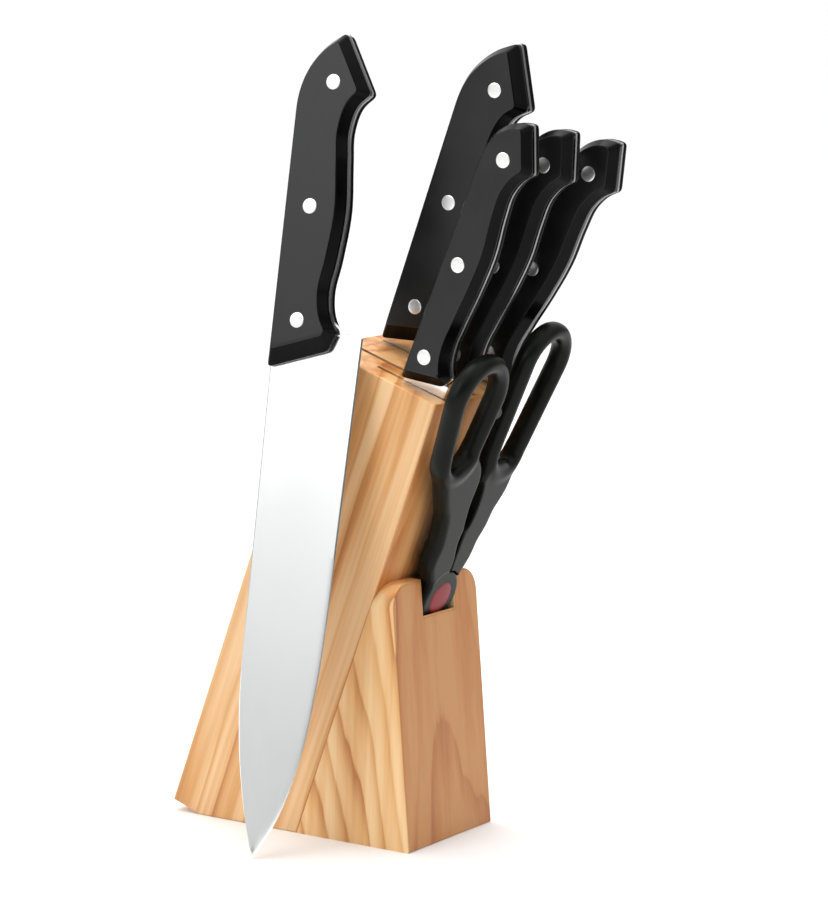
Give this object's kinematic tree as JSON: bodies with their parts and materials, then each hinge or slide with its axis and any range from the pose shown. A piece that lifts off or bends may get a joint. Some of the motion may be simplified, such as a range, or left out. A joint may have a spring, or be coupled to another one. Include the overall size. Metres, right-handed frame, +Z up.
{
  "type": "knife block with knives",
  "caption": "Slanted wooden slab on a foot block, with riveted kitchen knives in its slots, kitchen scissors in a front pocket and a chef's knife propped at its side.",
  "frame": {"origin": "centre of the block's flat base, on the table", "axes": "+Z up; -Y towards the front, where the foot and the scissors are; +X to the right seen from the front, across the block's width"},
  "size_m": [0.1171, 0.1725, 0.325],
  "materials": {
    "left_wood": "satin oiled, streaked grain along the slab",
    "middle_wood": "satin oiled, streaked grain along the slab",
    "right_wood": "satin oiled, streaked grain along the slab",
    "foot_wood": "satin oiled, arched grain on the front",
    "blade_steel": "fine grinding lines across the blade",
    "rivet_steel": "polished",
    "black_scale": "satin flat face, glossy bevels",
    "dark_green_plastic": "fine matte",
    "red_plastic": "satin raspberry red"
  },
  "bodies": {
    "block": {"left_board": "left_wood", "middle_board": "middle_wood", "right_board": "right_wood", "foot_block": "foot_wood"},
    "chef_knife": {"chef_blade": "blade_steel", "chef_left_scale": "black_scale", "chef_right_scale": "black_scale", "chef_rivets": "rivet_steel"},
    "slicing_knife": {"slicer_blade": "blade_steel", "slicer_left_scale": "black_scale", "slicer_right_scale": "black_scale", "slicer_rivets": "rivet_steel"},
    "utility_knife": {"utility_blade": "blade_steel", "utility_left_scale": "black_scale", "utility_right_scale": "black_scale", "utility_rivets": "rivet_steel"},
    "boning_knife": {"boning_blade": "blade_steel", "boning_left_scale": "black_scale", "boning_right_scale": "black_scale", "boning_rivets": "rivet_steel"},
    "paring_knife": {"paring_blade": "blade_steel", "paring_left_scale": "black_scale", "paring_right_scale": "black_scale", "paring_rivets": "rivet_steel"},
    "scissors_thumb_half": {"scissors_thumb_blade": "blade_steel", "scissors_thumb_handle": "dark_green_plastic", "scissors_pivot_pin": "rivet_steel", "scissors_pivot_cap": "red_plastic"},
    "scissors_finger_half": {"scissors_finger_blade": "blade_steel", "scissors_finger_handle": "dark_green_plastic"}
  },
  "joints": [
    {"name": "chef_knife_lift", "type": "slide", "parent": "block", "child": "chef_knife", "axis": [0.1773, 0.0091, 0.9841], "range_m": [0, 0.08]},
    {"name": "slicing_knife_draw", "type": "slide", "parent": "block", "child": "slicing_knife", "axis": [0, -0.3173, 0.9483], "range_m": [0, 0.19]},
    {"name": "utility_knife_draw", "type": "slide", "parent": "block", "child": "utility_knife", "axis": [0, -0.3551, 0.9348], "range_m": [0, 0.12]},
    {"name": "boning_knife_draw", "type": "slide", "parent": "block", "child": "boning_knife", "axis": [0, -0.4099, 0.9121], "range_m": [0, 0.11]},
    {"name": "paring_knife_draw", "type": "slide", "parent": "block", "child": "paring_knife", "axis": [0, -0.4726, 0.8813], "range_m": [0, 0.088]},
    {"name": "scissors_lift", "type": "slide", "parent": "block", "child": "scissors_thumb_half", "axis": [0, -0.3502, 0.9367], "range_m": [0, 0.01]},
    {"name": "scissors_pivot", "type": "hinge", "parent": "scissors_thumb_half", "child": "scissors_finger_half", "pos_m": [0.00245, -0.03768, 0.09923], "axis": [0, 0.9367, 0.3502], "range_deg": [0, 6]}
  ]
}
